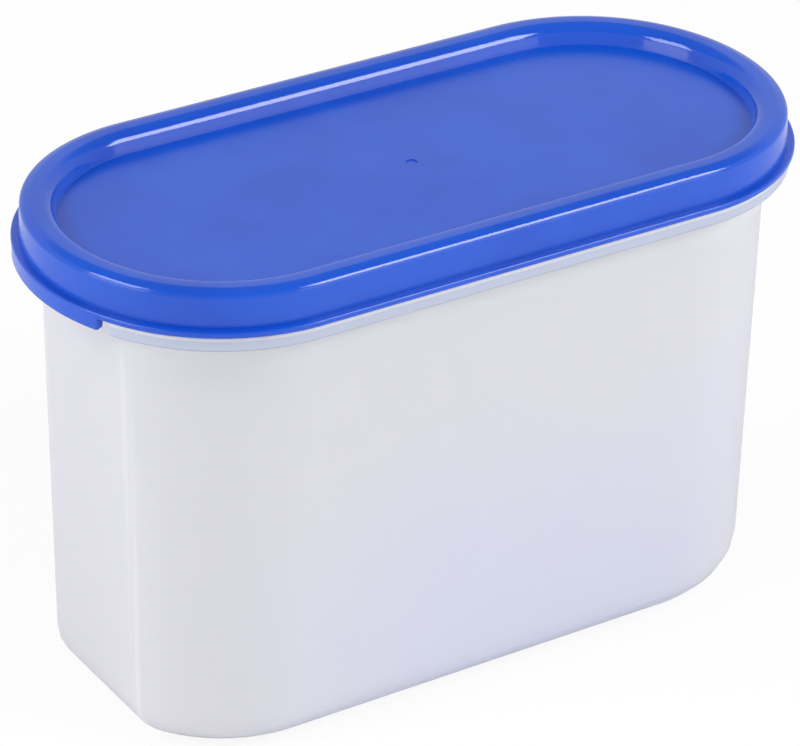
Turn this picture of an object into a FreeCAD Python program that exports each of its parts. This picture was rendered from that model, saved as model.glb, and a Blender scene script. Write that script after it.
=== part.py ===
"""Oval food storage container: a tall open tub and the press-on lid that closes it.

Millimetres, +Z up. The origin is on the ground under the middle of the oval, X runs
along its long side, and the lid's pull tab is at the -X end. Every outline is the same
oval, named by its half width: two straight sides joined by ends that are slightly
flatter than half circles. Wall sections are given as (half width, height, corner round).
"""
import FreeCAD
import Part
import math
import os

V = FreeCAD.Vector
UP = V(0, 0, 1)

# ---- oval plan ----
side_half = 51.1        # half the length of the straight sides
end_flat = 1.9          # how far the ends fall short of half circles
end_arc = 30.0          # degrees either side of the long axis on the flatter end arc

# ---- tub ----
mouth_half_in = 39.9    # half width of the mouth
mouth_skin = 1.9
mouth_height = 8.3      # from the collar up to the lip
mouth_step = 0.1        # how far the body under the collar is narrower than the mouth's inside
body_taper = 1.9        # how far it narrows from there down to the ground
wall = 1.6
bottom_round = 11.0     # outer radius all round the base
panel_cut = 3.9         # depth of the end that the flat thumb panel cuts off, under the collar
panel_lean = 0.8        # how much more it cuts off at the ground
crease_round = 4.0      # where the thumb panel meets the rounded end
foot_width = 4.0        # standing ring left round the raised base
foot_height = 1.0       # how far the base is pushed up inside that ring
collar_reach = 3.5      # how far the collar stands out from the mouth
collar_depth = 3.5      # height of the collar's outer skirt
collar_skin = 1.5       # thickness of the collar's shelf and skirt
bead_out = 0.6          # snap bead that stands out from the mouth
bead_height = 2.2
notch_gap = 1.5         # from the tab to each cut end of the collar

# ---- lid ----
lid_top = 122.4         # height of the closed container
skin = 1.5              # thickness of the panel and of the rim's roof
headroom = 0.5          # air between the tub's lip and that roof
rim_wall = 1.6          # thickness of the rim's outer wall at its foot
rim_draft = 0.25        # how far that wall leans in towards its top
rim_width = 8.45        # across the raised rim, at the panel
rim_shoulder = 1.5      # outer top radius of the rim
crown_width = 2.85      # outer part of the rim's flat top, which falls away
crown_round = 7.0       # gentle radius where it begins to fall
crown_fall = 14.0       # degrees
rim_inner_round = 3.2   # top radius on the recess side
recess_lean = 18.0      # degrees the rim's inner wall leans back from upright
panel_drop = 4.4        # from the rim's top to the sunk panel
flange_over = 1.0       # how far the flange covers the collar
flange_skin = 1.5
seat_gap = 0.2          # air between the lid and the collar it sits on
channel_gap = 0.5       # air between the snap bead and the lid's outer wall
hook_in = 0.35          # how far the lid's catch reaches back under the bead
fin_skin = 0.9          # sealing fin inside the mouth
fin_gap = 0.1
fin_reach = 5.4
tab_width = 39.3
tab_drop = 4.35         # height of the tab's face, from the flange's top
tab_skin = 1.6
tab_round = 1.1         # lower corners of the tab
gate_size = 2.6         # mark left by the mould's feed point, at the panel's middle
gate_depth = 0.25
edge = 0.5              # small edge round

# ---- worked out ----
turn = math.radians(end_arc)
corner_inset = end_flat / (1 + 1 / math.tan(turn) - 1 / math.sin(turn))
end_centre = side_half - corner_inset / math.tan(turn)
end_extra = corner_inset / math.sin(turn) - corner_inset
roof = lid_top - skin
lip = roof - headroom
collar_top = lip - mouth_height
collar_bottom = collar_top - collar_depth
shelf_bottom = collar_top - collar_skin
body_half_top = mouth_half_in - mouth_step
body_half_low = body_half_top - body_taper
panel_x_top = side_half - end_flat + body_half_top - panel_cut
panel_x_low = side_half - end_flat + body_half_low - panel_cut - panel_lean
mouth_half_out = mouth_half_in + mouth_skin
collar_half = mouth_half_out + collar_reach
bead_half = mouth_half_out + bead_out
channel_half = bead_half + channel_gap
rim_foot_half = channel_half + rim_wall
rim_half = rim_foot_half - rim_draft
crown_half = rim_half - crown_width
recess_half = rim_half - rim_width
flange_half = collar_half + flange_over
flange_bottom = collar_top + seat_gap
flange_top = flange_bottom + flange_skin
panel_top = lid_top - panel_drop
panel_bottom = panel_top - skin
fin_half = mouth_half_in - fin_gap
far = 200.0             # beyond everything
over = 1.0              # how far a cutter runs past what it cuts


def path_segments():
    """The oval as (centre, first angle, last angle, change of half width), anticlockwise.

    A straight side has no centre: it is the run between its neighbours' arcs."""
    d = end_arc
    pieces = []
    for sign, start in ((1, 0), (-1, 180)):
        near = V(sign * side_half, -sign * corner_inset, 0)
        away = V(sign * side_half, sign * corner_inset, 0)
        tip = V(sign * end_centre, 0, 0)
        pieces.append((near, start - 90, start - d, -corner_inset))
        pieces.append((tip, start - d, start + d, end_extra))
        pieces.append((away, start + d, start + 90, -corner_inset))
        pieces.append((None, start + 90, start + 90, 0))
    return pieces


def on_arc(centre, radius, degrees, z):
    a = math.radians(degrees)
    return centre + V(radius * math.cos(a), radius * math.sin(a), z)


def oval_wire(half, z):
    edges = []
    for centre, first, last, change in path_segments():
        if centre is None:
            y = half if first == 90 else -half
            x = side_half if first == 90 else -side_half
            edges.append(Part.LineSegment(V(x, y, z), V(-x, y, z)).toShape())
            continue
        radius = half + change
        points = [on_arc(centre, radius, a, z) for a in (first, (first + last) / 2, last)]
        edges.append(Part.Arc(*points).toShape())
    return Part.Wire(edges)


def oval_plate(half, z0, z1):
    return Part.Face(oval_wire(half, z0)).extrude(V(0, 0, z1 - z0))


def section_wire(corners):
    """A closed outline in the XZ plane through (x, z, round), each corner given its round."""
    count = len(corners)
    spans = []
    for i, (x, z, radius) in enumerate(corners):
        here = V(x, 0, z)
        back = V(corners[i - 1][0], 0, corners[i - 1][1]) - here
        ahead = V(corners[(i + 1) % count][0], 0, corners[(i + 1) % count][1]) - here
        if radius <= 0:
            spans.append((here, here, here))
            continue
        half_angle = back.getAngle(ahead) / 2
        back.normalize()
        ahead.normalize()
        middle = back + ahead
        middle.normalize()
        length = radius / math.tan(half_angle)
        depth = radius / math.sin(half_angle) - radius
        spans.append((here + back * length, here + middle * depth, here + ahead * length))
    edges = []
    for i, (first, middle, last) in enumerate(spans):
        if first != last:
            edges.append(Part.Arc(first, middle, last).toShape())
        following = spans[(i + 1) % count][0]
        if last.distanceToPoint(following) > 1e-6:
            edges.append(Part.LineSegment(last, following).toShape())
    return Part.Wire(edges)


def turned(section, centre, change, first, last):
    """The section turned about an upright axis, from one compass angle to another."""
    face = Part.Face(section)
    face.translate(V(change, 0, 0))
    face.rotate(V(0, 0, 0), UP, first)
    face.translate(centre)
    return face.revolve(centre, UP, last - first)


def round_the_oval(corners):
    """The section (half width, height, round) carried once round the oval."""
    section = section_wire(corners)
    pieces = []
    for centre, first, last, change in path_segments():
        if centre is not None:
            pieces.append(turned(section, centre, change, first, last))
            continue
        face = Part.Face(section)
        face.rotate(V(0, 0, 0), UP, first)
        x = side_half if first == 90 else -side_half
        face.translate(V(x, 0, 0))
        pieces.append(face.extrude(V(-2 * x, 0, 0)))
    return pieces[0].fuse(pieces[1:]).removeSplitter()


def at_height(low, top, z):
    """A body size at a height, from its value at the ground and under the collar."""
    return low + (top - low) * z / shelf_bottom


def tub_block(inset, z0, z1, base_round):
    """The tub's solid outline, inset all round, from one height to another.

    It is the drafted oval cut off by the flat thumb panel. The two creases beside the
    panel are rounded as far as the inset leaves them any round."""
    halves = [at_height(body_half_low, body_half_top, z) - inset for z in (z0, z1)]
    reach = [at_height(panel_x_low, panel_x_top, z) - inset for z in (z0, z1)]
    oval = Part.makeLoft([oval_wire(halves[0], z0), oval_wire(halves[1], z1)], True, True)
    corners = [V(-reach[0], -far, z0), V(far, -far, z0), V(far, -far, z1), V(-reach[1], -far, z1)]
    slab = Part.Face(Part.makePolygon(corners + corners[:1])).extrude(V(0, 2 * far, 0))
    block = oval.common(slab)
    if inset < crease_round:
        panel = min(block.Faces, key=lambda face: face.CenterOfMass.x)
        crease = [e for e in panel.Edges if abs(e.Vertexes[0].Z - e.Vertexes[-1].Z) > (z1 - z0) / 2]
        block = block.makeFillet(crease_round - inset, crease)
    if base_round <= 0:
        return block
    base = [e for e in oval.Edges if all(abs(v.Z - z0) < 1e-6 for v in e.Vertexes)]
    oval = oval.makeFillet(base_round, base)
    base = [e for e in slab.Edges if abs(e.CenterOfMass.z - z0) < 1e-6
            and abs(e.CenterOfMass.x + reach[0]) < 1e-6]
    slab = slab.makeFillet(base_round, base)
    return block.common(oval.common(slab))


def tub_rim():
    """Collar, mouth and snap bead as one section carried round the oval."""
    inside = body_half_top - panel_cut - wall - over
    bead_top = lip - edge
    bead_foot = bead_top - bead_height
    return round_the_oval([
        (inside, shelf_bottom, 0),
        (collar_half - collar_skin, shelf_bottom, edge),
        (collar_half - collar_skin, collar_bottom, 0),
        (collar_half, collar_bottom, edge),
        (collar_half, collar_top, edge),
        (mouth_half_out, collar_top, edge),
        (mouth_half_out, bead_foot, 0),
        (bead_half, bead_foot + bead_out, edge),
        (bead_half, bead_top - bead_out, edge),
        (mouth_half_out, lip, edge),
        (mouth_half_in, lip, edge),
        (mouth_half_in, collar_top, edge),
        (inside, collar_top, 0),
    ])


def end_degrees(half_chord, half):
    """The angle on the flatter end arc whose chord has this half length."""
    return math.degrees(math.asin(half_chord / (half + end_extra)))


def collar_notch():
    """What is cut from the collar so that the tab can hang outside the tub."""
    spread = end_degrees(tab_width / 2 + notch_gap, collar_half)
    inner = mouth_half_out + edge
    section = section_wire([
        (inner, collar_bottom - over, 0),
        (collar_half + over, collar_bottom - over, 0),
        (collar_half + over, collar_top + seat_gap, 0),
        (inner, collar_top + seat_gap, 0),
    ])
    return turned(section, V(-end_centre, 0, 0), end_extra, 180 - spread, 180 + spread)


def make_tub():
    outside = tub_block(0, 0, shelf_bottom, bottom_round)
    inside = tub_block(wall, wall, collar_top, bottom_round - wall)
    foot_in = bottom_round + foot_width
    pushed_up = tub_block(foot_in - wall, wall / 2, wall + foot_height, 0)
    recess = tub_block(foot_in, 0, foot_height, 0)
    tub = outside.fuse(tub_rim()).cut(inside)
    tub = tub.fuse(pushed_up).cut(recess)
    return tub.cut(collar_notch()).removeSplitter()


def recess_at(z):
    """Half width of the recess at a height."""
    return recess_half + (z - panel_top) * math.tan(math.radians(recess_lean))


def lid_shell():
    """Raised rim, flange, catch and sealing fin as one section round the sunk panel."""
    catch = channel_half - hook_in
    catch_low = flange_bottom + skin
    fall = (rim_half - crown_half) * math.tan(math.radians(crown_fall))
    inside = recess_half - 2 * skin
    shell = round_the_oval([
        (inside, panel_top, 0),
        (recess_half, panel_top, 0),
        (recess_at(lid_top), lid_top, rim_inner_round),
        (crown_half, lid_top, crown_round),
        (rim_half, lid_top - fall, rim_shoulder),
        (rim_foot_half, flange_top, 0),
        (flange_half, flange_top, edge),
        (flange_half, flange_bottom, edge),
        (channel_half, flange_bottom, edge),
        (channel_half, catch_low - hook_in, 0),
        (catch, catch_low, 0),
        (channel_half, catch_low + hook_in, 0),
        (channel_half, roof - fall, skin),
        (crown_half, roof, 0),
        (fin_half, roof, 0),
        (fin_half, roof - fin_reach, edge),
        (fin_half - fin_skin, roof - fin_reach, 0),
        (fin_half - fin_skin, roof, 0),
        (recess_at(roof) + skin, roof, edge),
        (recess_at(panel_bottom) + skin, panel_bottom, edge),
        (inside, panel_bottom, 0),
    ])
    return shell.fuse(oval_plate(inside, panel_bottom, panel_top))


def pull_tab():
    """The lip that hangs from the flange at the -X end."""
    spread = end_degrees(tab_width / 2, flange_half)
    low = flange_top - tab_drop
    section = section_wire([
        (flange_half - tab_skin, flange_top - edge, 0),
        (flange_half - tab_skin, low, 0),
        (flange_half, low, edge),
        (flange_half, flange_top - edge, 0),
    ])
    tab = turned(section, V(-end_centre, 0, 0), end_extra, 180 - spread, 180 + spread)
    corners = []
    for e in tab.Edges:
        middle = e.CenterOfMass
        if abs(middle.z - low) < 1e-3 and e.Length < tab_skin:
            corners.append(e)
    return tab.makeFillet(tab_round, corners)


def make_lid():
    lid = lid_shell().fuse(pull_tab())
    gate = Part.makeCylinder(gate_size / 2, gate_depth + over, V(0, 0, panel_top - gate_depth))
    return lid.cut(gate).removeSplitter()


os.makedirs("parts", exist_ok=True)
for name, shape in (("tub", make_tub()), ("lid", make_lid())):
    solid = shape.Solids[0]
    print(name, "solids", len(shape.Solids), "valid", shape.isValid(), "cm3", round(shape.Volume / 1000, 2))
    print("   box", shape.BoundBox)
    solid.exportStep("parts/" + name + ".step")
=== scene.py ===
import bmesh
import bpy
import math
from mathutils import Matrix, Vector


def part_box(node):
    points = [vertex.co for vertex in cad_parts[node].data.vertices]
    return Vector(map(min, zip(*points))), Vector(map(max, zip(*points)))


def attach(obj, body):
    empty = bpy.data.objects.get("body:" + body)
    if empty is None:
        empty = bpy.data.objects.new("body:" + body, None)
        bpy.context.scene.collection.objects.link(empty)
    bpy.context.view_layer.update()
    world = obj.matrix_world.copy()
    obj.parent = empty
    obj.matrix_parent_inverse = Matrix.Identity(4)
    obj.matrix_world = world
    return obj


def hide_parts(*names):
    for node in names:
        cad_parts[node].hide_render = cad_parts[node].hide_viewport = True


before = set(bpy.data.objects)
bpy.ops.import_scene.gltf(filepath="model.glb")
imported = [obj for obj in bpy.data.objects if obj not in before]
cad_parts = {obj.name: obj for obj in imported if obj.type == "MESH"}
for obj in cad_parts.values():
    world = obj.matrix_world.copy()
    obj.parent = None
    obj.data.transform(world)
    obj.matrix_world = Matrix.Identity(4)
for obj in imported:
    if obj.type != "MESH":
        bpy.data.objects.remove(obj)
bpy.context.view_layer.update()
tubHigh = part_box("tub")[1]
lidLow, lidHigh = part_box("lid")
scene = bpy.context.scene
mm = 0.001
hair = 0.01 * mm               # points closer than this count as one
straightUp = Vector((0, 0, 1))

# every ring of the container follows this oval, and is named by its half width
oval = {
    "endFlat": 1.9 * mm,       # how far each end falls short of a half circle
    "endArc": 30,              # degrees either side of the long axis on the flatter end arc
    "stepsPerDegree": 1,       # round the ends
    "sideSteps": 24,           # along each straight side
    "roundSteps": 5,           # across each rounded corner of a section
    "sharpFrom": 38,           # degrees, past which an edge is left sharp
}

arcTurn = math.radians(oval["endArc"])
sideHalf = lidHigh.x - lidHigh.y + oval["endFlat"]
cornerInset = oval["endFlat"] / (1 + 1 / math.tan(arcTurn) - 1 / math.sin(arcTurn))
tipCentre = sideHalf - cornerInset / math.tan(arcTurn)
tipExtra = cornerInset / math.sin(arcTurn) - cornerInset


def wholeRoute():
    # legs of the oval: a centre and the degrees to turn, or None and a distance along X
    legs = []
    cornerTurn = 90 - oval["endArc"]
    for sign in (1, -1):
        legs.append((Vector((sign * sideHalf, -sign * cornerInset, 0)), cornerTurn))
        legs.append((Vector((sign * tipCentre, 0, 0)), 2 * oval["endArc"]))
        legs.append((Vector((sign * sideHalf, sign * cornerInset, 0)), cornerTurn))
        legs.append((None, -2 * sign * sideHalf))
    return legs


def routePastTab(spread):
    # the long way round, from one side of the pull tab to the other
    legs = wholeRoute()        # its leg 5 goes round the -X tip
    short = [(Vector((-tipCentre, 0, 0)), oval["endArc"] - spread)]
    return short + legs[6:] + legs[:5] + short


def tipDegrees(halfChord, half):
    # how far round the end arc a chord of this half length reaches
    return math.degrees(math.asin(halfChord / (half + tipExtra)))


def halfWidth(point):
    # the half width of the oval that passes through a point
    x, y = abs(point.x), abs(point.y)
    if x <= sideHalf:
        return y
    if math.atan2(y, x - tipCentre) <= arcTurn:
        return math.hypot(x - tipCentre, y) - tipExtra
    return math.hypot(x - sideHalf, y - cornerInset) + cornerInset


def drawSection(bm, corners, closed):
    # an outline in the XZ plane, each corner (half width, height, round) bevelled to its round
    before = set(bm.verts) | set(bm.edges)
    verts = [bm.verts.new((x, 0, z)) for x, z, radius in corners]
    for first, second in zip(verts, verts[1:] + verts[:1] * closed):
        bm.edges.new((first, second))
    for vert, (x, z, radius) in zip(verts, corners):
        if radius > 0:
            arms = [edge.other_vert(vert).co - vert.co for edge in vert.link_edges]
            bmesh.ops.bevel(bm, geom=[vert], affect="VERTICES", offset_type="OFFSET",
                            offset=radius / math.tan(arms[0].angle(arms[1]) / 2),
                            segments=oval["roundSteps"], profile=0.5, material=-1)
    return [part for part in list(bm.verts) + list(bm.edges) if part not in before]


def vertsOf(parts):
    return [part for part in parts if isinstance(part, bmesh.types.BMVert)]


def edgesOf(parts):
    return [part for part in parts if isinstance(part, bmesh.types.BMEdge)]


def placeSection(bm, section, centre, change, degrees):
    # from half widths to distances from an arc's centre, then out to where the sweep starts
    bmesh.ops.translate(bm, verts=vertsOf(section), vec=(change, 0, 0))
    turn = Matrix.Rotation(math.radians(degrees), 3, "Z")
    bmesh.ops.rotate(bm, verts=vertsOf(section), cent=(0, 0, 0), matrix=turn)
    bmesh.ops.translate(bm, verts=vertsOf(section), vec=centre)


def carry(bm, section, legs):
    # sweeps a section along its legs, and gives back its last place
    for centre, amount in legs:
        if centre is None:
            steps = oval["sideSteps"]
            made = bmesh.ops.spin(bm, geom=section, dvec=(amount / steps, 0, 0), axis=straightUp,
                                  angle=0, steps=steps)
        else:
            steps = max(2, round(oval["stepsPerDegree"] * amount))
            made = bmesh.ops.spin(bm, geom=section, cent=centre, axis=straightUp,
                                  angle=math.radians(amount), steps=steps)
        section = made["geom_last"]
    return section


def wholeRing(bm, corners):
    # an open section carried once round the oval
    section = drawSection(bm, corners, closed=False)
    placeSection(bm, section, Vector((sideHalf, -cornerInset, 0)), -cornerInset, -90)
    carry(bm, section, wholeRoute())
    bmesh.ops.remove_doubles(bm, verts=bm.verts, dist=hair)


def cappedRing(bm, corners, start, legs):
    # part of a ring that starts beside the -X tip, with its two cut ends closed
    section = drawSection(bm, corners, closed=True)
    placeSection(bm, section, Vector((-tipCentre, 0, 0)), tipExtra, start)
    last = carry(bm, section, legs)
    for end in (section, last):
        bmesh.ops.edgeloop_fill(bm, edges=edgesOf(end))


def openLoop(bm, low, high):
    # the free edges between two heights
    return [edge for edge in bm.edges if edge.is_boundary and low < edge.verts[0].co.z < high]


def finishPiece(name, bm, plastic, node):
    bmesh.ops.recalc_face_normals(bm, faces=bm.faces)
    mesh = bpy.data.meshes.new(name)
    bm.to_mesh(mesh)
    bm.free()
    mesh.shade_smooth()
    mesh.set_sharp_from_angle(angle=math.radians(oval["sharpFrom"]))
    mesh.materials.append(plastic)
    piece = bpy.data.objects.new(name, mesh)
    scene.collection.objects.link(piece)
    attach(piece, "root")
    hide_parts(node)
    print(name, len(mesh.polygons), "faces")


class Wire:
    # a shader socket that can stand in a sum
    def __init__(self, recipe, socket):
        self.recipe = recipe
        self.socket = socket

    def maths(self, operation, first, second):
        return self.recipe.add("ShaderNodeMath", {"operation": operation}, {0: first, 1: second})

    def __add__(self, other):
        return self.maths("ADD", self, other)

    def __sub__(self, other):
        return self.maths("SUBTRACT", self, other)

    def __mul__(self, other):
        return self.maths("MULTIPLY", self, other)

    def __rsub__(self, other):
        return self.maths("SUBTRACT", other, self)

    __radd__ = __add__
    __rmul__ = __mul__


class Recipe:
    # a material or world tree, filled one node at a time
    def __init__(self, owner):
        owner.use_nodes = True
        self.tree = owner.node_tree
        self.tree.nodes.clear()

    def add(self, kind, settings, sockets, out=0):
        node = self.tree.nodes.new(kind)
        for key, value in settings.items():
            setattr(node, key, value)
        for key, value in sockets.items():
            socket = node.inputs[key]
            if isinstance(value, Wire):
                self.tree.links.new(value.socket, socket)
            elif isinstance(value, tuple) and len(socket.default_value) == 4:
                socket.default_value = (*value, 1)
            else:
                socket.default_value = value
        if node.outputs:
            return Wire(self, node.outputs[out])

    def noise(self, place, scale, detail):
        return self.add("ShaderNodeTexNoise", {}, {"Vector": place, "Scale": scale, "Detail": detail})

    def between(self, value, low, high, first=0.0, last=1.0):
        # a smooth step from first to last, while value goes from low to high
        return self.add("ShaderNodeMapRange", {"interpolation_type": "SMOOTHSTEP"}, {
            "Value": value, "From Min": low, "From Max": high, "To Min": first, "To Max": last})

    def mixColour(self, amount, first, second):
        # the Mix node's sockets 6 and 7 take colours, and its output 2 gives one
        return self.add("ShaderNodeMix", {"data_type": "RGBA"}, {0: amount, 6: first, 7: second}, 2)


lidSizes = {
    "skin": 1.5 * mm,          # panel and rim roof
    "rimWall": 1.6 * mm,       # outer wall of the rim at its foot
    "rimDraft": 0.25 * mm,     # how much the outer wall leans in towards the top
    "rimWidth": 8.45 * mm,     # at the panel
    "rimShoulder": 1.5 * mm,   # round between the crown and the outer wall
    "crownWidth": 2.35 * mm,   # outer part of the rim's top, which falls away
    "crownRound": 2.5 * mm,
    "crownFall": 15.5,         # degrees
    "innerRound": 3.2 * mm,    # top round on the recess side
    "recessLean": 18,          # degrees that the recess wall leans back from upright
    "panelDrop": 4.4 * mm,
    "flangeSkin": 1.5 * mm,
    "flangeOver": 1 * mm,      # how far it reaches past the collar
    "hookIn": 0.35 * mm,       # catch under the snap bead
    "finSkin": 0.9 * mm,       # sealing fin in the tub's mouth
    "finGap": 0.1 * mm,
    "finReach": 5.4 * mm,
    "tabWidth": 39.3 * mm,
    "tabDrop": 4.35 * mm,
    "tabSkin": 1.6 * mm,
    "tabRound": 1.1 * mm,      # lower corners
    "tabEndRound": 0.7 * mm,   # upright edges
    "tabCornerLegs": 3,        # short legs of the tab's sweep that carry each round
    "gateRadius": 1.3 * mm,    # feed point mark at the middle of the panel
    "gateDepth": 0.25 * mm,
    "gateSides": 48,
    "edge": 0.5 * mm,
}

tubSizes = {
    "mouthSkin": 1.9 * mm,
    "mouthHeight": 8.3 * mm,   # from the collar up to the lip
    "mouthStep": 0.1 * mm,     # how much narrower the body is than the mouth's inside
    "taper": 1.9 * mm,         # how much narrower the body is at the ground
    "wall": 1.6 * mm,
    "baseRound": 11 * mm,
    "panelCut": 3.9 * mm,      # depth of the end that the thumb panel cuts off, at the top
    "panelLean": 0.8 * mm,     # and how much more at the ground
    "creaseBlend": 0.5 * mm,   # how far each side of a crease its round reaches
    "footWidth": 4 * mm,       # standing ring
    "footHeight": 1 * mm,
    "hub": 14 * mm,            # half width of the flat middle of the floor
    "collarReach": 3.5 * mm,   # out from the mouth
    "collarDepth": 3.5 * mm,
    "collarSkin": 1.5 * mm,
    "beadOut": 0.6 * mm,       # snap bead under the lip
    "beadHeight": 2.2 * mm,
    "notchGap": 1.5 * mm,      # from the tab to each cut end of the collar
    "rootLap": 0.2 * mm,       # how far the collar's shelf runs into the body
    "rootStep": 0.03 * mm,     # and how much thinner it is there
    "edge": 0.5 * mm,
}

collarTop = tubHigh.z - tubSizes["mouthHeight"]
mouthOut = tubHigh.y - tubSizes["collarReach"]
mouthIn = mouthOut - tubSizes["mouthSkin"]
flangeTop = lidLow.z + lidSizes["tabDrop"]
panelTop = lidHigh.z - lidSizes["panelDrop"]


def lidSection():
    s = lidSizes
    roof = lidHigh.z - s["skin"]
    flangeLow = flangeTop - s["flangeSkin"]
    channel = lidHigh.y - s["flangeOver"] - tubSizes["collarReach"] + tubSizes["beadOut"] + s["edge"]
    rimFoot = channel + s["rimWall"]
    rimOut = rimFoot - s["rimDraft"]
    crown = rimOut - s["crownWidth"]
    recess = rimOut - s["rimWidth"]
    fall = s["crownWidth"] * math.tan(math.radians(s["crownFall"]))
    fin = mouthIn - s["finGap"]
    catch = flangeLow + s["skin"]
    panelLow = panelTop - s["skin"]
    start = recess - 2 * s["skin"]
    lean = math.tan(math.radians(s["recessLean"]))
    return [
        (start, panelTop, 0),
        (recess, panelTop, 0),
        (recess + s["panelDrop"] * lean, lidHigh.z, s["innerRound"]),
        (crown, lidHigh.z, s["crownRound"]),
        (rimOut, lidHigh.z - fall, s["rimShoulder"]),
        (rimFoot, flangeTop, 0),
        (lidHigh.y, flangeTop, s["edge"]),
        (lidHigh.y, flangeLow, s["edge"]),
        (channel, flangeLow, s["edge"]),
        (channel, catch - s["hookIn"], 0),
        (channel - s["hookIn"], catch, 0),
        (channel, catch + s["hookIn"], 0),
        (channel, roof - fall, s["skin"]),
        (crown, roof, 0),
        (fin, roof, 0),
        (fin, roof - s["finReach"], 0),
        (fin - s["finSkin"], roof - s["finReach"], 0),
        (fin - s["finSkin"], roof, 0),
        (recess + s["skin"] + (roof - panelTop) * lean, roof, s["edge"]),
        (recess + s["skin"] + (panelLow - panelTop) * lean, panelLow, s["edge"]),
        (start, panelLow, 0),
    ]


def closePanel(bm):
    # the sunk panel round its feed point mark, and its flat underside
    s = lidSizes
    middle = panelTop - s["skin"] / 2
    ring = openLoop(bm, middle, lidHigh.z)
    under = openLoop(bm, 0, middle)
    circle = bmesh.ops.create_circle(bm, cap_ends=False, radius=s["gateRadius"],
                                     segments=s["gateSides"],
                                     matrix=Matrix.Translation((0, 0, panelTop)))
    mark = list({edge for vert in circle["verts"] for edge in vert.link_edges})
    bmesh.ops.triangle_fill(bm, edges=ring + mark, use_beauty=True)
    sunk = bmesh.ops.extrude_edge_only(bm, edges=mark)["geom"]
    bmesh.ops.translate(bm, verts=vertsOf(sunk), vec=(0, 0, -s["gateDepth"]))
    bmesh.ops.edgeloop_fill(bm, edges=[edge for edge in edgesOf(sunk) if edge.is_boundary])
    bmesh.ops.triangle_fill(bm, edges=under, use_beauty=True)


def roundedOff(inside, radius):
    # how far a corner's round draws a surface back, this far in from the corner
    short = max(radius - inside, 0)
    return radius - math.sqrt(max(radius ** 2 - short ** 2, 0))


def addPullTab(bm):
    # a skirt below the flange at the -X tip
    s = lidSizes
    spread = tipDegrees(s["tabWidth"] / 2, lidHigh.y)
    top = flangeTop - s["flangeSkin"] + s["edge"]
    corners = [
        (lidHigh.y - s["tabSkin"], top, 0),
        (lidHigh.y - s["tabSkin"], lidLow.z, 0),
        (lidHigh.y, lidLow.z, s["edge"]),
        (lidHigh.y, top, 0),
    ]
    tip = Vector((-tipCentre, 0, 0))
    radius = lidHigh.y + tipExtra
    corner = math.degrees(s["tabRound"] / radius)
    cornerLegs = [(tip, corner / s["tabCornerLegs"])] * s["tabCornerLegs"]
    rim = set(bm.verts)
    cappedRing(bm, corners, 180 - spread, cornerLegs + [(tip, 2 * (spread - corner))] + cornerLegs)
    for vert in bm.verts:              # rounds the lower corners and the upright edges
        if vert in rim or vert.co.z > top - hair:
            continue
        turned = math.atan2(abs(vert.co.y), -vert.co.x - tipCentre)
        inside = (math.radians(spread) - turned) * radius
        if math.hypot(vert.co.x + tipCentre, vert.co.y) > radius - s["edge"]:
            drawIn = 1 - roundedOff(inside, s["tabEndRound"]) / radius
            vert.co.x = (vert.co.x + tipCentre) * drawIn - tipCentre
            vert.co.y *= drawIn
        vert.co.z += roundedOff(inside, s["tabRound"])


def makeLid(plastic):
    bm = bmesh.new()
    wholeRing(bm, lidSection())
    closePanel(bm)
    addPullTab(bm)
    finishPiece("lidMoulding", bm, plastic, "lid")


def bodyHalf(z):
    # outer half width of the drafted body at a height
    s = tubSizes
    top = collarTop - s["collarSkin"]
    return mouthIn - s["mouthStep"] - s["taper"] * (1 - min(z / top, 1))


def tubSection():
    s = tubSizes
    shelf = collarTop - s["collarSkin"]
    stub = mouthOut + s["edge"]
    beadTop = tubHigh.z - s["edge"]
    beadLow = beadTop - s["beadHeight"]
    standIn = bodyHalf(0) - s["baseRound"] - s["footWidth"]
    floorIn = standIn + s["wall"]
    floorTop = s["wall"] + s["footHeight"]
    return [
        (s["hub"], s["footHeight"], 0),
        (standIn, s["footHeight"], 0),
        (standIn, 0, 0),
        (bodyHalf(0), 0, s["baseRound"]),
        (bodyHalf(shelf), shelf, 0),
        (stub, shelf, 0),
        (stub, collarTop, 0),
        (mouthOut, collarTop, 0),
        (mouthOut, beadLow, 0),
        (mouthOut + s["beadOut"], beadLow + s["beadOut"], s["edge"]),
        (mouthOut + s["beadOut"], beadTop - s["beadOut"], s["edge"]),
        (mouthOut, tubHigh.z, s["edge"]),
        (mouthIn, tubHigh.z, s["edge"]),
        (mouthIn, collarTop, 0),
        (bodyHalf(shelf) - s["wall"], collarTop, 0),
        (bodyHalf(0) - s["wall"], s["wall"], s["baseRound"] - s["wall"]),
        (floorIn, s["wall"], 0),
        (floorIn, floorTop, 0),
        (s["hub"], floorTop, 0),
    ]


def flattenEnd(bm, crease):
    # presses the rounded -X end back to the leaning flat of the thumb panel
    s = tubSizes
    for vert in bm.verts:
        spot = vert.co
        half = halfWidth(spot)
        if spot.x > -tipCentre or half > bodyHalf(spot.z) + hair:
            continue
        cut = s["panelCut"] + s["panelLean"] * (1 - min(spot.z / (collarTop - s["collarSkin"]), 1))
        reach = tipCentre + tipExtra + half - cut
        overlap = max(s["creaseBlend"] - abs(reach + spot.x), 0)
        spot.x = -min(reach, -spot.x) + overlap ** 2 / (4 * s["creaseBlend"])   # a rounded crease
        # how far into the crease this is: the share of the painted highlight along it
        vert[crease] = overlap / s["creaseBlend"]


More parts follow.
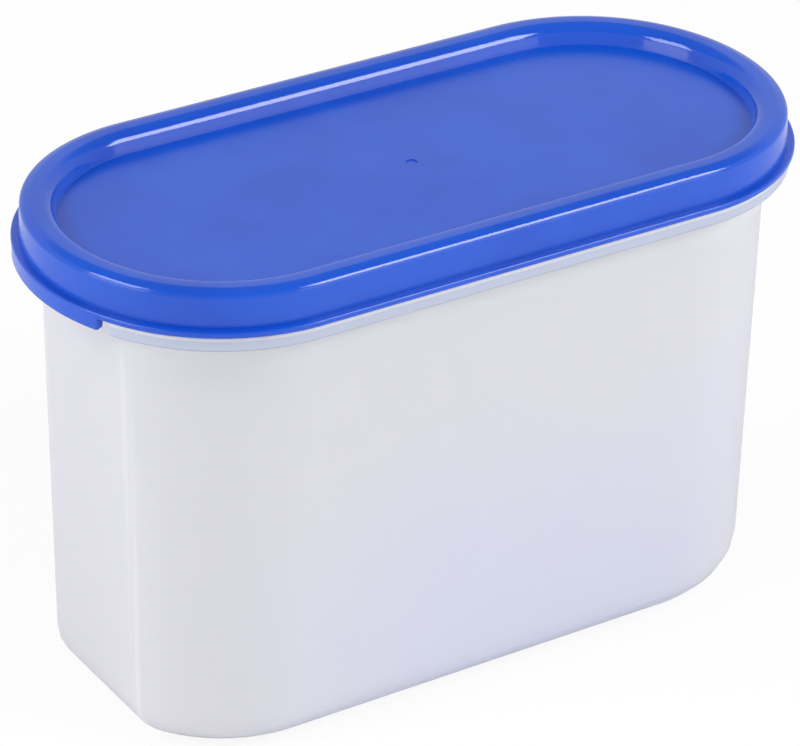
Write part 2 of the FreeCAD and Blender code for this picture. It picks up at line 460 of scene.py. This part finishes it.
def addCollar(bm, share):
    # a shelf with a turned down edge, cut away in front of the tab
    s = tubSizes
    spread = tipDegrees(lidSizes["tabWidth"] / 2 + s["notchGap"], tubHigh.y)
    inner = tubHigh.y - s["collarSkin"]
    root = mouthOut + s["edge"] - s["rootLap"]
    corners = [
        (root, collarTop - s["collarSkin"] + s["rootStep"], 0),
        (inner, collarTop - s["collarSkin"], s["edge"]),
        (inner, collarTop - s["collarDepth"], 0),
        (tubHigh.y, collarTop - s["collarDepth"], s["edge"]),
        (tubHigh.y, collarTop, s["edge"]),
        (root, collarTop - s["rootStep"], 0),
    ]
    body = set(bm.verts)
    cappedRing(bm, corners, 180 + spread, routePastTab(spread))
    for vert in bm.verts:
        vert[share] = 0.0 if vert in body else 1.0


def makeTub(plastic):
    s = tubSizes
    bm = bmesh.new()
    share = bm.verts.layers.float.new("collarShare")   # 1 on the collar, for the plastic
    # painted highlight along the thumb panel's two creases, kept as a vertex share
    crease = bm.verts.layers.float.new("creaseShare")  # 1 along the thumb panel's two creases
    wholeRing(bm, tubSection())
    flattenEnd(bm, crease)
    inFloor = s["footHeight"] + s["wall"] / 2
    for low, high in ((0, inFloor), (inFloor, collarTop)):
        bmesh.ops.edgeloop_fill(bm, edges=openLoop(bm, low, high))
    addCollar(bm, share)
    finishPiece("tubMoulding", bm, plastic, "tub")


lidLook = {
    "blue": (0.004, 0.078, 0.56),
    "deepBlue": (0.003, 0.066, 0.51),
    "cloudScale": 38,          # clouds of the two blues
    "cloudSpan": (0.35, 0.7),
    "rimRoughness": 0.10,
    "panelRoughness": 0.26,
    "panelEdge": (0.2 * mm, 1.2 * mm),   # heights over the panel where its finish gives way
    "roughnessDrift": 0.05,
    "waveScale": 22,           # slow unevenness
    "waveStrength": 0.25,
    "waveHeight": 1.2 * mm,
    "grainScale": 1900,        # fine grain of the mould
    "grainStrength": 0.12,
    "grainHeight": 0.04 * mm,
    "refraction": 1.5,
}


def lidPlastic():
    look = lidLook
    material = bpy.data.materials.new("royalBlueLidPlastic")
    recipe = Recipe(material)
    place = recipe.add("ShaderNodeTexCoord", {}, {}, "Object")
    height = recipe.add("ShaderNodeSeparateXYZ", {}, {"Vector": place}, "Z")
    low, high = look["panelEdge"]
    onPanel = recipe.between(height, panelTop + low, panelTop + high, 1.0, 0.0)
    cloud = recipe.noise(place, look["cloudScale"], 3)
    grain = recipe.noise(place, look["grainScale"], 3)
    wave = recipe.noise(place, look["waveScale"], 1)
    deeper = recipe.between(cloud, *look["cloudSpan"])
    colour = recipe.mixColour(deeper, look["blue"], look["deepBlue"])
    rougher = look["panelRoughness"] - look["rimRoughness"]
    roughness = look["rimRoughness"] + onPanel * rougher + (cloud - 0.5) * look["roughnessDrift"]
    soft = recipe.add("ShaderNodeBump", {}, {
        "Strength": look["waveStrength"], "Distance": look["waveHeight"], "Height": wave})
    bump = recipe.add("ShaderNodeBump", {}, {
        "Strength": look["grainStrength"], "Distance": look["grainHeight"], "Height": grain,
        "Normal": soft})
    surface = recipe.add("ShaderNodeBsdfPrincipled", {}, {
        "Base Color": colour, "Roughness": roughness, "IOR": look["refraction"], "Normal": bump})
    recipe.add("ShaderNodeOutputMaterial", {}, {"Surface": surface})
    return material


tubLook = {
    "clear": (0.875, 0.87, 0.90),
    "cool": (0.83, 0.85, 0.985),         # lower part, away from the thumb panel
    "coolHeight": (25 * mm, 72 * mm),    # fully cool below, clear above
    "coolStart": (-85 * mm, 0),          # and the same along the tub
    "coolEnd": (45 * mm, 95 * mm),
    "coolDrift": 70 * mm,                # how far clouds move its borders
    # painted highlight along the thumb panel's creases
    "crease": (1.0, 1.0, 1.0),
    "underCollarLight": (1.0, 1.0, 1.0),      # painted light that lifts the shade on the wall below the collar
    "underCollarLightFade": (-14 * mm, -6 * mm),   # each fade is from the collar's top
    "collarShadeAndLidReflection": (0.64, 0.70, 0.845),  # painted shade and a painted reflection of the lid's blue on the collar
    # painted highlight along the collar's top edge, just under the lid's flange
    "collarEdgeHighlight": (0.99, 1.0, 1.0),
    "collarEdgeHighlightFade": (-1.2 * mm, -0.8 * mm),
    # painted shade: a dark line along the foot of the collar's turned down edge
    "collarFootShade": (0.42, 0.47, 0.64),
    "collarFootShadeFade": (-3.2 * mm, -2.9 * mm),
    "roughness": 0.42,
    "collarRoughness": 0.2,
    "roughnessDrift": 0.1,
    "cloudScale": 18,
    "grainScale": 2400,                  # the frosting
    "grainStrength": 0.2,
    "grainHeight": 0.06 * mm,
    "refraction": 1.49,
    "through": (0.875, 0.875, 0.91),     # light that passes into the wall, and its share
    "throughShare": 0.45,
}


def tubPlastic():
    look = tubLook
    material = bpy.data.materials.new("frostedTubPlastic")
    recipe = Recipe(material)
    place = recipe.add("ShaderNodeTexCoord", {}, {}, "Object")
    along = recipe.add("ShaderNodeSeparateXYZ", {}, {"Vector": place}, "X")
    height = recipe.add("ShaderNodeSeparateXYZ", {}, {"Vector": place}, "Z")
    fromTop = height - collarTop
    cloud = recipe.noise(place, look["cloudScale"], 3)
    grain = recipe.noise(place, look["grainScale"], 2)
    drift = (cloud - 0.5) * look["coolDrift"]
    coolUp = recipe.between(height + drift, *look["coolHeight"], 1.0, 0.0)
    coolStart = recipe.between(along + drift, *look["coolStart"])
    coolEnd = recipe.between(along + drift, *look["coolEnd"], 1.0, 0.0)
    colour = recipe.mixColour(coolUp * coolStart * coolEnd, look["clear"], look["cool"])
    # painted highlight: the wall turns white along the creases
    onCreaseHighlight = recipe.add("ShaderNodeAttribute", {"attribute_name": "creaseShare"}, {}, "Fac")
    colour = recipe.mixColour(onCreaseHighlight, colour, look["crease"])
    # painted light: the wall just below the collar is brightened where the collar's shade falls
    underCollarLight = recipe.between(fromTop, *look["underCollarLightFade"])
    colour = recipe.mixColour(underCollarLight, colour, look["underCollarLight"])
    onCollar = recipe.add("ShaderNodeAttribute", {"attribute_name": "collarShare"}, {}, "Fac")
    # painted shade and a painted reflection of the lid's blue over the whole collar
    colour = recipe.mixColour(onCollar, colour, look["collarShadeAndLidReflection"])
    # painted highlight: a thin white band along the collar's top edge
    highlightNearLid = recipe.between(fromTop, *look["collarEdgeHighlightFade"])
    colour = recipe.mixColour(onCollar * highlightNearLid, colour, look["collarEdgeHighlight"])
    # painted shade: the foot of the collar is darkened in a thin band
    shadeNearFoot = recipe.between(fromTop, *look["collarFootShadeFade"], 1.0, 0.0)
    colour = recipe.mixColour(onCollar * shadeNearFoot, colour, look["collarFootShade"])
    polish = look["collarRoughness"] - look["roughness"]
    roughness = look["roughness"] + onCollar * polish + (cloud - 0.5) * look["roughnessDrift"]
    bump = recipe.add("ShaderNodeBump", {}, {
        "Strength": look["grainStrength"], "Distance": look["grainHeight"], "Height": grain})
    surface = recipe.add("ShaderNodeBsdfPrincipled", {}, {
        "Base Color": colour, "Roughness": roughness, "IOR": look["refraction"], "Normal": bump})
    glow = recipe.add("ShaderNodeBsdfTranslucent", {}, {"Color": look["through"], "Normal": bump})
    mixed = recipe.add("ShaderNodeMixShader", {}, {0: look["throughShare"], 1: surface, 2: glow})
    recipe.add("ShaderNodeOutputMaterial", {}, {"Surface": mixed})
    return material


makeLid(lidPlastic())
makeTub(tubPlastic())

studio = {
    "floorSize": 6.0,
    "floorColour": (0.93, 0.93, 0.94),
    "shadowShare": 0.12,       # how much of the shadow on the floor is seen
    "white": (1.0, 1.0, 1.0),
    "horizon": 0.82,           # how bright the room is low down
    "front": 0.72,             # and on the side towards the camera
    "frontSide": (-0.54, -0.84, 0),
    "frontFade": (0.35, 0.75),
    "sky": 0.33,               # and overhead
    "skyFade": (33, 44),       # degrees up
    "lamps": {                 # degrees round from +X, degrees up, distance, width, height, watts
        "rightSoftbox": (-51, 40, 1.3, 0.46, 0.54, 8.2),
        "rightSkirt": (-63, 12, 1.3, 0.66, 0.60, 1.5),
        "leftSoftbox": (170, 42, 1.3, 0.62, 0.46, 6.4),
        "leftSkirt": (179, 14, 1.3, 0.8, 0.66, 3.1),
    },
}


def layFloor():
    # the camera sees it white, with a faint shadow
    bm = bmesh.new()
    bmesh.ops.create_grid(bm, x_segments=1, y_segments=1, size=studio["floorSize"] / 2)
    mesh = bpy.data.meshes.new("studioFloor")
    bm.to_mesh(mesh)
    bm.free()
    floor = bpy.data.objects.new("studioFloor", mesh)
    scene.collection.objects.link(floor)
    material = bpy.data.materials.new("paleFloor")
    recipe = Recipe(material)
    paint = recipe.add("ShaderNodeBsdfDiffuse", {}, {"Color": studio["floorColour"]})
    white = recipe.add("ShaderNodeEmission", {}, {"Color": studio["white"], "Strength": 1.0})
    seen = recipe.add("ShaderNodeLightPath", {}, {}, "Is Camera Ray") * (1 - studio["shadowShare"])
    mixed = recipe.add("ShaderNodeMixShader", {}, {0: seen, 1: paint, 2: white})
    recipe.add("ShaderNodeOutputMaterial", {}, {"Surface": mixed})
    mesh.materials.append(material)


def hangLamp(name, azimuth, elevation, distance, width, height, watts):
    # a softbox that faces the middle of the tub
    light = bpy.data.lights.new(name, "AREA")
    light.shape = "RECTANGLE"
    light.size = width
    light.size_y = height
    light.energy = watts
    lamp = bpy.data.objects.new(name, light)
    target = Vector((0, 0, tubHigh.z / 2))
    turn, rise = math.radians(azimuth), math.radians(elevation)
    away = Vector((math.cos(turn) * math.cos(rise), math.sin(turn) * math.cos(rise), math.sin(rise)))
    lamp.location = target + away * distance
    lamp.rotation_euler = away.to_track_quat("Z", "Y").to_euler()
    scene.collection.objects.link(lamp)


def surround():
    # a pale room, which the camera sees as plain white
    world = bpy.data.worlds.new("paleRoom")
    scene.world = world
    recipe = Recipe(world)
    direction = recipe.add("ShaderNodeTexCoord", {}, {}, "Generated")
    up = recipe.add("ShaderNodeSeparateXYZ", {}, {"Vector": direction}, "Z")
    toFront = recipe.add("ShaderNodeVectorMath", {"operation": "DOT_PRODUCT"},
                         {0: direction, 1: studio["frontSide"]}, "Value")
    low = recipe.between(toFront, *studio["frontFade"], studio["horizon"], studio["front"])
    high = recipe.between(up, *[math.sin(math.radians(rise)) for rise in studio["skyFade"]])
    level = low + high * (studio["sky"] - low)
    seen = recipe.add("ShaderNodeLightPath", {}, {}, "Is Camera Ray")
    strength = level + (1 - level) * seen
    glow = recipe.add("ShaderNodeBackground", {}, {"Color": studio["white"], "Strength": strength})
    recipe.add("ShaderNodeOutputWorld", {}, {"Surface": glow})


layFloor()
for lampName, facts in studio["lamps"].items():
    hangLamp(lampName, *facts)
surround()
scene.view_settings.view_transform = "Standard"
print("floor, lamps and room ready")

cameraView = {
    "azimuth": -32.9,          # degrees
    "elevation": 29.62,
    "roll": 1.13,
    "distance": 1.0486,
    "targetHeight": 0.0622,
    "lens": 204.33,            # on a sensor of this width, both in millimetres
    "sensorWidth": 36,
    "shift": (-0.00924, 0.0056),
}


def setCamera():
    view = cameraView
    turn, rise = math.radians(view["azimuth"]), math.radians(view["elevation"])
    back = Vector((math.sin(turn) * math.cos(rise), -math.cos(turn) * math.cos(rise), math.sin(rise)))
    right = straightUp.cross(back).normalized()
    up = back.cross(right)
    roll = math.radians(view["roll"])
    across = right * math.cos(roll) + up * math.sin(roll)
    above = up * math.cos(roll) - right * math.sin(roll)
    place = Vector((0, 0, view["targetHeight"])) + back * view["distance"]
    data = bpy.data.cameras.new("studioCamera")
    data.sensor_width = view["sensorWidth"]
    data.lens = view["lens"]
    data.shift_x, data.shift_y = view["shift"]
    camera = bpy.data.objects.new("studioCamera", data)
    turned = Matrix((across, above, back)).transposed().to_4x4()
    camera.matrix_world = Matrix.Translation(place) @ turned
    scene.collection.objects.link(camera)
    scene.camera = camera


setCamera()
print("camera ready")
